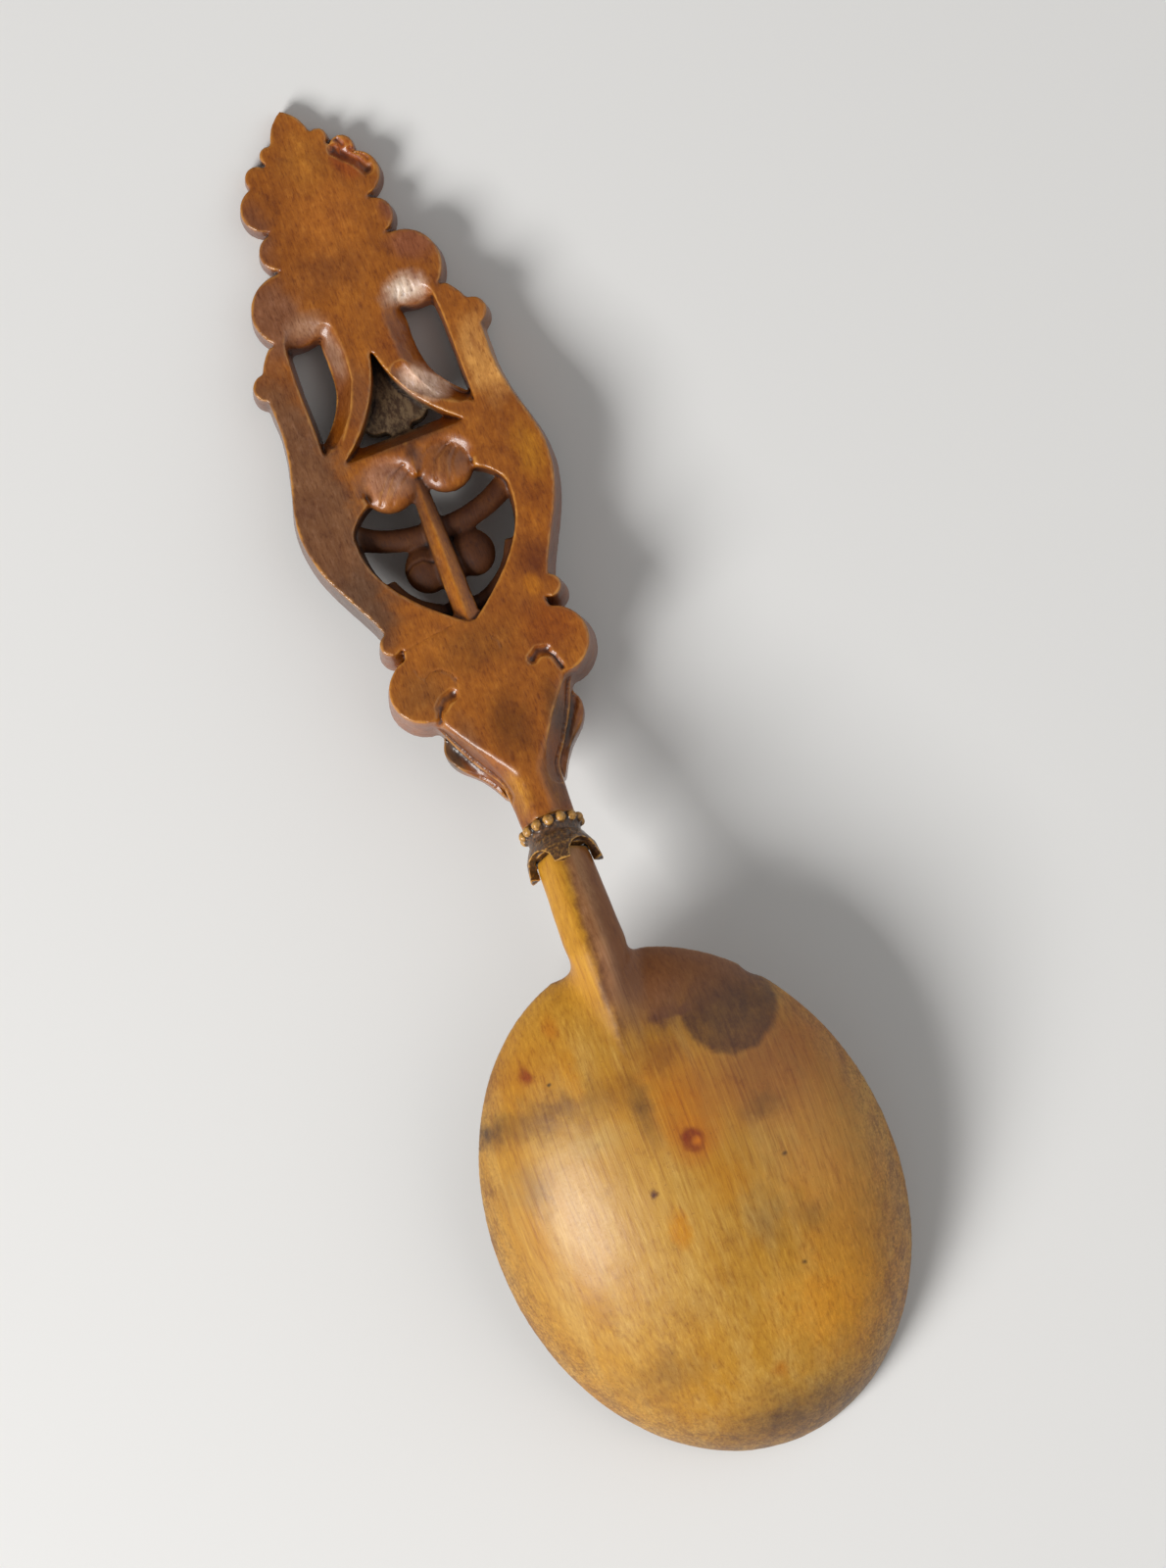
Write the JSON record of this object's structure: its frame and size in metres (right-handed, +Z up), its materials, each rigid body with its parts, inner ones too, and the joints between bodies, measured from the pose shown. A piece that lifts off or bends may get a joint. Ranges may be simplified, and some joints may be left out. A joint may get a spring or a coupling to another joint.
{
  "type": "carved wooden spoon",
  "caption": "Carved wooden love spoon: egg-shaped bowl, faceted stem with a beaded collar, and a pierced lyre-shaped handle under a lobed crest. A keepsake to lay down or hang up.",
  "frame": {"origin": "on the surface that the spoon lies on, under the middle of its box", "axes": "+Z up, out of the back of the spoon, which lies face down; +Y along the spoon towards the tip of the handle; +X to the right when the back is looked at with the tip away"},
  "size_m": [0.0518, 0.1796, 0.0249],
  "materials": {
    "handle_wood": "worn satin, warm reddish brown with polished edges",
    "bowl_wood": "worn satin, honey brown with fine grain along the bowl and old stains",
    "collar_wood": "dark brown, with bright worn tops"
  },
  "bodies": {
    "root": {"bowl": "bowl_wood", "collar_band": "collar_wood", "collar_beads": "collar_wood", "collar_calyx": "collar_wood", "crest_plate": "handle_wood", "crossbar": "handle_wood", "fan_plate": "handle_wood", "finial": "handle_wood", "front_rosette": "handle_wood", "left_acanthus": "handle_wood", "left_arm": "handle_wood", "left_arm_knob": "handle_wood", "left_basal_leaf": "handle_wood", "left_bead_lobe": "handle_wood", "left_branch": "handle_wood", "left_crossbar_lobe": "handle_wood", "left_leaf": "handle_wood", "left_shoulder_lobe": "handle_wood", "left_side_lobe": "handle_wood", "left_strap": "handle_wood", "left_tip_bead": "handle_wood", "left_upper_lobe": "handle_wood", "left_volute": "handle_wood", "left_volute_bead": "handle_wood", "neck": "handle_wood", "rat_tail": "bowl_wood", "right_acanthus": "handle_wood", "right_arm": "handle_wood", "right_arm_knob": "handle_wood", "right_basal_leaf": "handle_wood", "right_bead_lobe": "handle_wood", "right_branch": "handle_wood", "right_crossbar_lobe": "handle_wood", "right_leaf": "handle_wood", "right_shoulder_lobe": "handle_wood", "right_side_lobe": "handle_wood", "right_strap": "handle_wood", "right_tip_bead": "handle_wood", "right_upper_lobe": "handle_wood", "right_volute": "handle_wood", "right_volute_bead": "handle_wood", "shank": "bowl_wood", "stalk": "handle_wood"}
  },
  "joints": []
}
